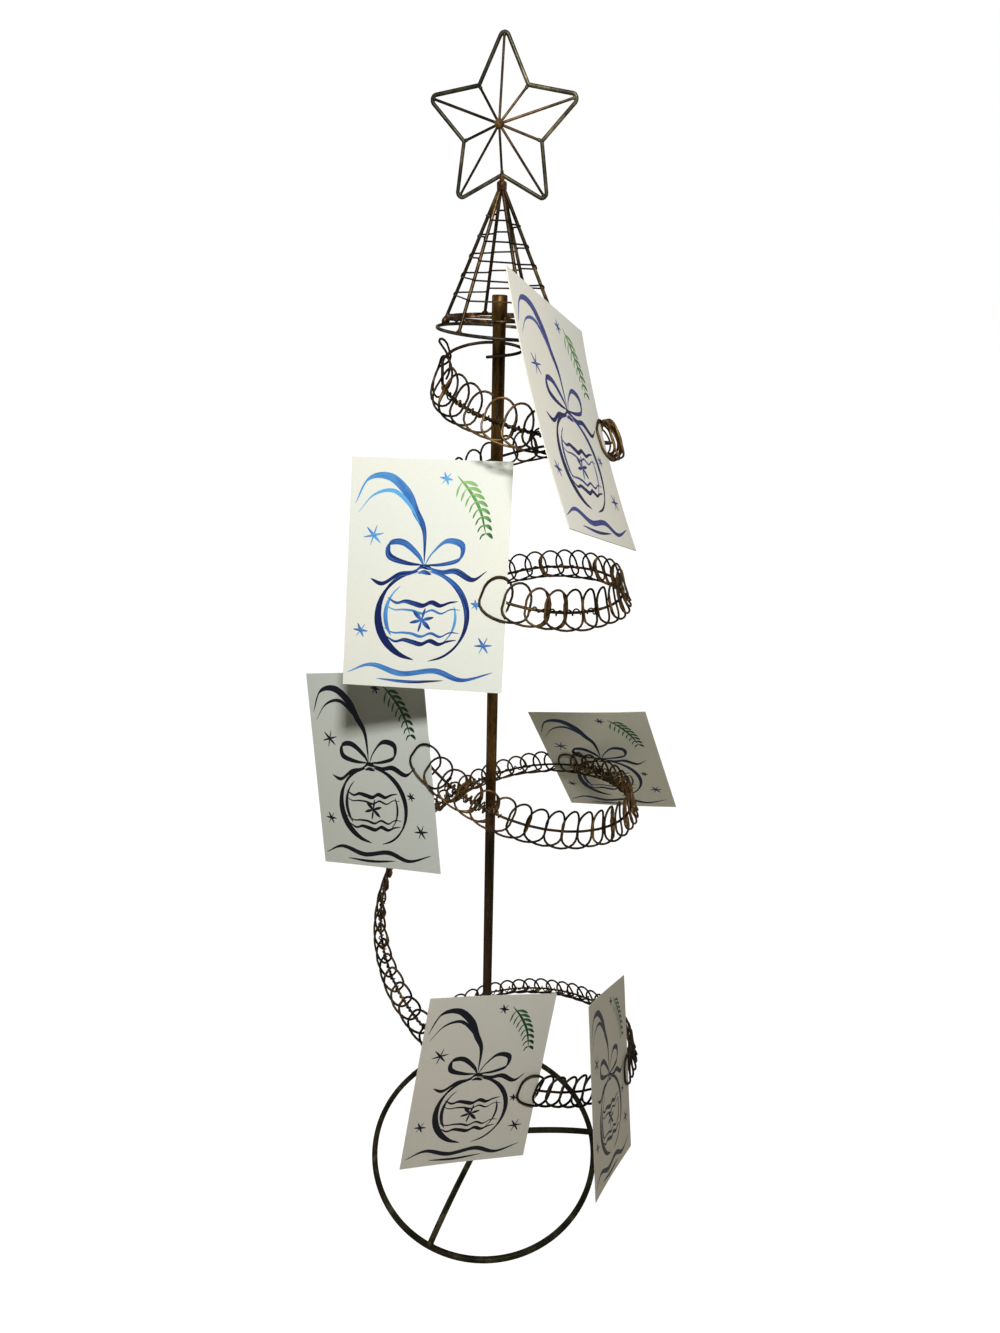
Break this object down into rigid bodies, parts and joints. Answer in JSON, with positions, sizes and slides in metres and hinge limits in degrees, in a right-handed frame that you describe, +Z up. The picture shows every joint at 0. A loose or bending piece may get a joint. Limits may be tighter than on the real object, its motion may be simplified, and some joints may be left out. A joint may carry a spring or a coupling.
{
  "type": "greeting card display stand",
  "caption": "Free-standing wire card holder: a spiral of wire loops winds down a pole on a ring base, topped by a wire cone and star, with folded cards held in the loops.",
  "frame": {"origin": "on the floor below the middle of the whole stand; the pole stands 19 mm to the left and 19 mm behind it", "axes": "+Z up along the pole, -Y to the front where most cards face, +X to the right seen from the front"},
  "size_m": [0.322, 0.3114, 0.9642],
  "materials": {
    "bronze_wire": "antique bronze lacquer, satin",
    "dark_bronze": "dark antique bronze lacquer, satin",
    "golden_bronze": "rubbed golden bronze lacquer, satin",
    "brazed_copper": "copper-brown brazed joints under lacquer",
    "card_stock": "matt white folded card with printed brush artwork"
  },
  "bodies": {
    "stand": {"base_ring": "bronze_wire", "base_spoke_1": "dark_bronze", "base_spoke_2": "dark_bronze", "base_spoke_3": "dark_bronze", "pole_socket": "dark_bronze", "pole_lower": "bronze_wire", "pole_spigot": "bronze_wire", "pole_upper": "golden_bronze", "spiral_spine": "bronze_wire", "spiral_loops": "bronze_wire"},
    "topper": {"topper_cap": "golden_bronze", "cone_arm_1": "brazed_copper", "cone_arm_2": "brazed_copper", "cone_arm_3": "brazed_copper", "cone_carrier_ring": "brazed_copper", "cone_ring": "bronze_wire", "cone_rib_1": "bronze_wire", "cone_rib_2": "bronze_wire", "cone_rib_3": "bronze_wire", "cone_rib_4": "bronze_wire", "cone_rib_5": "bronze_wire", "cone_rib_6": "bronze_wire", "cone_winding": "bronze_wire", "cone_ferrule": "brazed_copper", "star_outline": "golden_bronze", "star_spoke_1": "bronze_wire", "star_spoke_2": "bronze_wire", "star_spoke_3": "bronze_wire", "star_spoke_4": "bronze_wire", "star_spoke_5": "bronze_wire", "star_spoke_6": "bronze_wire", "star_spoke_7": "bronze_wire", "star_spoke_8": "bronze_wire", "star_spoke_9": "bronze_wire", "star_spoke_10": "bronze_wire", "star_hub": "brazed_copper"},
    "greeting_card_1": {"card_1": "card_stock"},
    "greeting_card_2": {"card_2": "card_stock"},
    "greeting_card_3": {"card_3": "card_stock"},
    "greeting_card_4": {"card_4": "card_stock"},
    "greeting_card_5": {"card_5": "card_stock"},
    "greeting_card_6": {"card_6": "card_stock"}
  },
  "joints": [
    {"name": "topper_lift", "type": "slide", "parent": "stand", "child": "topper", "axis": [0, 0, 1], "range_m": [0, 0.012]},
    {"name": "card_1_slide", "type": "slide", "parent": "stand", "child": "greeting_card_1", "axis": [-0.5062, -0.7775, 0.3732], "range_m": [0, 0.03]},
    {"name": "card_2_slide", "type": "slide", "parent": "stand", "child": "greeting_card_2", "axis": [-0.9886, 0.1495, -0.016], "range_m": [0, 0.03]},
    {"name": "card_3_slide", "type": "slide", "parent": "stand", "child": "greeting_card_3", "axis": [-0.866, 0.4369, -0.2431], "range_m": [0, 0.03]},
    {"name": "card_4_slide", "type": "slide", "parent": "stand", "child": "greeting_card_4", "axis": [0.8982, -0.3841, 0.2138], "range_m": [0, 0.03]},
    {"name": "card_5_slide", "type": "slide", "parent": "stand", "child": "greeting_card_5", "axis": [-0.943, -0.2379, 0.2329], "range_m": [0, 0.03]},
    {"name": "card_6_slide", "type": "slide", "parent": "stand", "child": "greeting_card_6", "axis": [-0.4534, -0.7536, 0.476], "range_m": [0, 0.03]}
  ]
}
